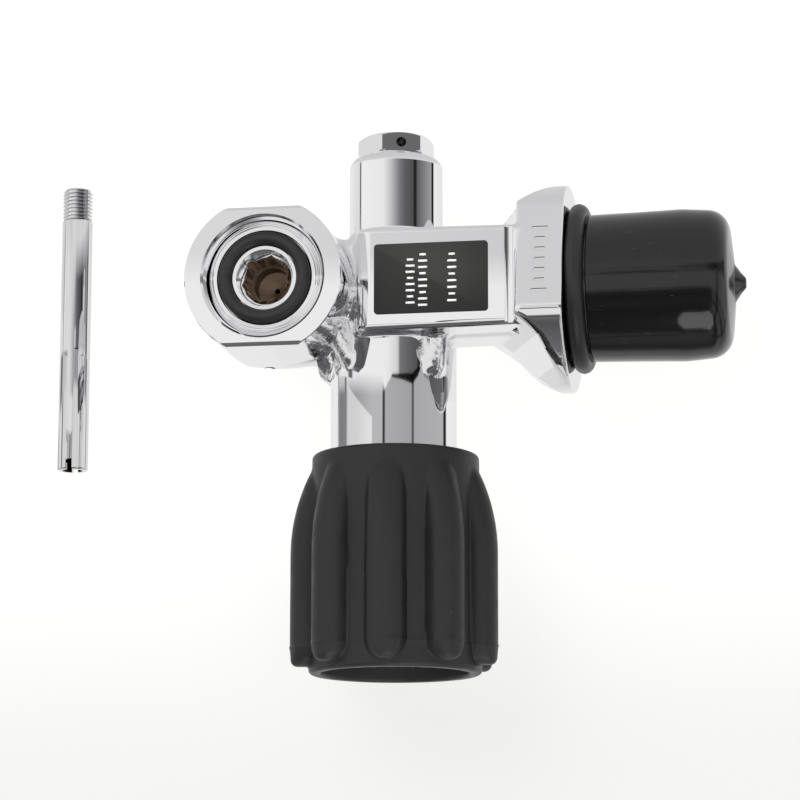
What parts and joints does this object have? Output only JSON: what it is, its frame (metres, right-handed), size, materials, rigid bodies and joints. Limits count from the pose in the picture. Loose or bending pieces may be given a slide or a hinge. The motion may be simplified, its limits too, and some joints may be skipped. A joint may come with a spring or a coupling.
{
  "type": "scuba cylinder valve",
  "caption": "Chromed scuba cylinder valve with yoke post, removable outlet insert, burst-disc plug, ribbed handwheel, capped neck thread and loose dip tube.",
  "frame": {"origin": "on the surface that the valve lies on, under the middle of the whole assembly's box", "axes": "+X along the threaded neck, +Y along the stem away from the knob, +Z out of the outlet"},
  "size_m": [0.137, 0.1028, 0.0406],
  "materials": {
    "chrome": "mirror-bright chrome plate over brass",
    "brass": "machined, unplated",
    "copper": "soft copper sheet",
    "o_ring_rubber": "smooth nitrile",
    "knob_rubber": "satin moulded rubber",
    "cap_vinyl": "glossy dipped vinyl",
    "label_plate": "dark anodised plate with pale print",
    "white_nylon": "machined nylon",
    "spring_steel": "bright spring wire"
  },
  "bodies": {
    "valve": {"valve_body": "chrome", "pressure_label": "label_plate", "burst_disc": "copper", "burst_disc_gasket": "copper", "burst_disc_plug": "chrome", "bonnet_nut": "brass", "bonnet_o_ring": "o_ring_rubber", "neck_o_ring": "o_ring_rubber"},
    "handwheel": {"knob": "knob_rubber", "knob_hub": "brass", "knob_spring": "spring_steel", "knob_washer": "spring_steel", "knob_nut": "chrome", "valve_stem": "brass", "stem_washer": "white_nylon", "stem_o_ring": "o_ring_rubber"},
    "seat": {"seat_plug": "brass", "seat_insert": "white_nylon"},
    "insert": {"outlet_insert": "chrome", "insert_face_o_ring": "o_ring_rubber", "insert_inner_o_ring": "o_ring_rubber"},
    "cap": {"thread_cap": "cap_vinyl"},
    "loose_tube": {"dip_tube": "chrome"}
  },
  "joints": [
    {"name": "knob_turn", "type": "hinge", "parent": "valve", "child": "handwheel", "pos_m": [0.00205, -0.0292, 0.0192], "axis": [0, -1, 0], "range_deg": [0, 900]},
    {"name": "seat_travel", "type": "slide", "parent": "handwheel", "child": "seat", "axis": [0, -1, 0], "range_m": [0, 0.0032]},
    {"name": "cap_pull", "type": "slide", "parent": "valve", "child": "cap", "axis": [1, 0, 0], "range_m": [0, 0.12]},
    {"name": "insert_unscrew", "type": "slide", "parent": "valve", "child": "insert", "axis": [0, 0, 1], "range_m": [0, 0.03]},
    {"name": "dip_tube_lift", "type": "slide", "parent": "valve", "child": "loose_tube", "axis": [0, 0, 1], "range_m": [0, 0.05]}
  ],
  "couplings": [
    {"joint": "seat_travel", "follows": "knob_turn", "m_per_rad": 0.00019894}
  ]
}
